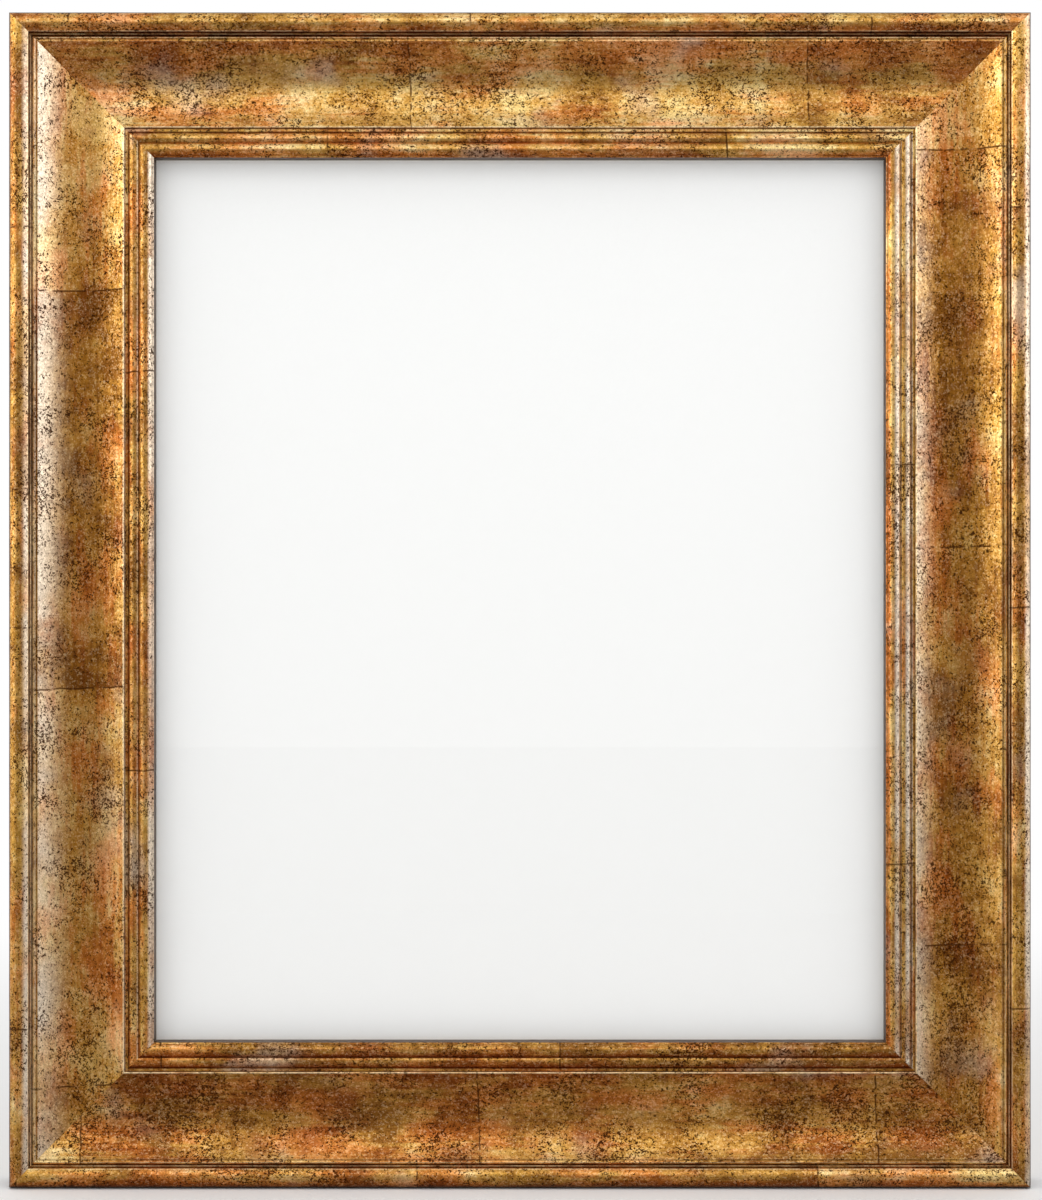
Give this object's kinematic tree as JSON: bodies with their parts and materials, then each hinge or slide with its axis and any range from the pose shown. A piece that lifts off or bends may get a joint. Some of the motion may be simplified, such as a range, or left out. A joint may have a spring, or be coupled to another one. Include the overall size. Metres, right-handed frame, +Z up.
{
  "type": "picture frame",
  "caption": "Upright wall frame of mitred, scooped and leafed wood moulding, with glass, a blank insert, a backing held by turn buttons, and ring hangers.",
  "frame": {"origin": "middle of the frame on the wall plane that its rubber bumpers rest against", "axes": "+X to the right and +Z up as it hangs, seen from the front; the front faces -Y and +Y points into the wall"},
  "size_m": [0.34, 0.0262, 0.391],
  "materials": {
    "leafed_wood": "distressed metal leaf over a red-brown ground, satin, dark specks and leaf joins",
    "zinc_steel": "bright zinc plate",
    "brass_plate": "brass-plated steel, light wear",
    "glass": "clear",
    "paper": "matt white, blank",
    "card": "raw grey-brown card",
    "hardboard": "smooth dark hardboard",
    "rubber": "matt black"
  },
  "bodies": {
    "frame": {"top_rail": "leafed_wood", "right_rail": "leafed_wood", "bottom_rail": "leafed_wood", "left_rail": "leafed_wood", "corner_nail_top_left_outer": "zinc_steel", "corner_nail_top_left_inner": "zinc_steel", "corner_nail_top_right_outer": "zinc_steel", "corner_nail_top_right_inner": "zinc_steel", "corner_nail_bottom_left_outer": "zinc_steel", "corner_nail_bottom_left_inner": "zinc_steel", "corner_nail_bottom_right_outer": "zinc_steel", "corner_nail_bottom_right_inner": "zinc_steel", "glass_pane": "glass", "blank_print": "paper", "filler_card": "card", "backing_board": "hardboard", "button_screw_top_a": "zinc_steel", "button_screw_top_b": "zinc_steel", "button_screw_right_a": "zinc_steel", "button_screw_right_b": "zinc_steel", "button_screw_bottom_a": "zinc_steel", "button_screw_bottom_b": "zinc_steel", "button_screw_left_a": "zinc_steel", "button_screw_left_b": "zinc_steel", "hanger_strap_left": "brass_plate", "hanger_screw_left": "zinc_steel", "bumper_left": "rubber", "hanger_strap_right": "brass_plate", "hanger_screw_right": "zinc_steel", "bumper_right": "rubber"},
    "turn_button_top_a": {"turn_button_top_a": "brass_plate"},
    "turn_button_top_b": {"turn_button_top_b": "brass_plate"},
    "turn_button_right_a": {"turn_button_right_a": "brass_plate"},
    "turn_button_right_b": {"turn_button_right_b": "brass_plate"},
    "turn_button_bottom_a": {"turn_button_bottom_a": "brass_plate"},
    "turn_button_bottom_b": {"turn_button_bottom_b": "brass_plate"},
    "turn_button_left_a": {"turn_button_left_a": "brass_plate"},
    "turn_button_left_b": {"turn_button_left_b": "brass_plate"},
    "hanger_ring_left": {"hanger_ring_left": "brass_plate"},
    "hanger_ring_right": {"hanger_ring_right": "brass_plate"}
  },
  "joints": [
    {"name": "turn_top_a", "type": "hinge", "parent": "frame", "child": "turn_button_top_a", "pos_m": [0.06425, -0.0032, 0.1615], "axis": [0, 1, 0], "continuous": true},
    {"name": "turn_top_b", "type": "hinge", "parent": "frame", "child": "turn_button_top_b", "pos_m": [-0.06425, -0.0032, 0.1615], "axis": [0, 1, 0], "continuous": true},
    {"name": "turn_right_a", "type": "hinge", "parent": "frame", "child": "turn_button_right_a", "pos_m": [0.136, -0.0032, -0.077], "axis": [0, 1, 0], "continuous": true},
    {"name": "turn_right_b", "type": "hinge", "parent": "frame", "child": "turn_button_right_b", "pos_m": [0.136, -0.0032, 0.077], "axis": [0, 1, 0], "continuous": true},
    {"name": "turn_bottom_a", "type": "hinge", "parent": "frame", "child": "turn_button_bottom_a", "pos_m": [-0.06425, -0.0032, -0.1615], "axis": [0, 1, 0], "continuous": true},
    {"name": "turn_bottom_b", "type": "hinge", "parent": "frame", "child": "turn_button_bottom_b", "pos_m": [0.06425, -0.0032, -0.1615], "axis": [0, 1, 0], "continuous": true},
    {"name": "turn_left_a", "type": "hinge", "parent": "frame", "child": "turn_button_left_a", "pos_m": [-0.136, -0.0032, 0.077], "axis": [0, 1, 0], "continuous": true},
    {"name": "turn_left_b", "type": "hinge", "parent": "frame", "child": "turn_button_left_b", "pos_m": [-0.136, -0.0032, -0.077], "axis": [0, 1, 0], "continuous": true},
    {"name": "ring_swing_left", "type": "hinge", "parent": "frame", "child": "hanger_ring_left", "pos_m": [-0.14925, -0.0022, 0.1235], "axis": [1, 0, 0], "range_deg": [0, 177]},
    {"name": "ring_swing_right", "type": "hinge", "parent": "frame", "child": "hanger_ring_right", "pos_m": [0.14925, -0.0022, 0.1235], "axis": [1, 0, 0], "range_deg": [0, 177]}
  ]
}
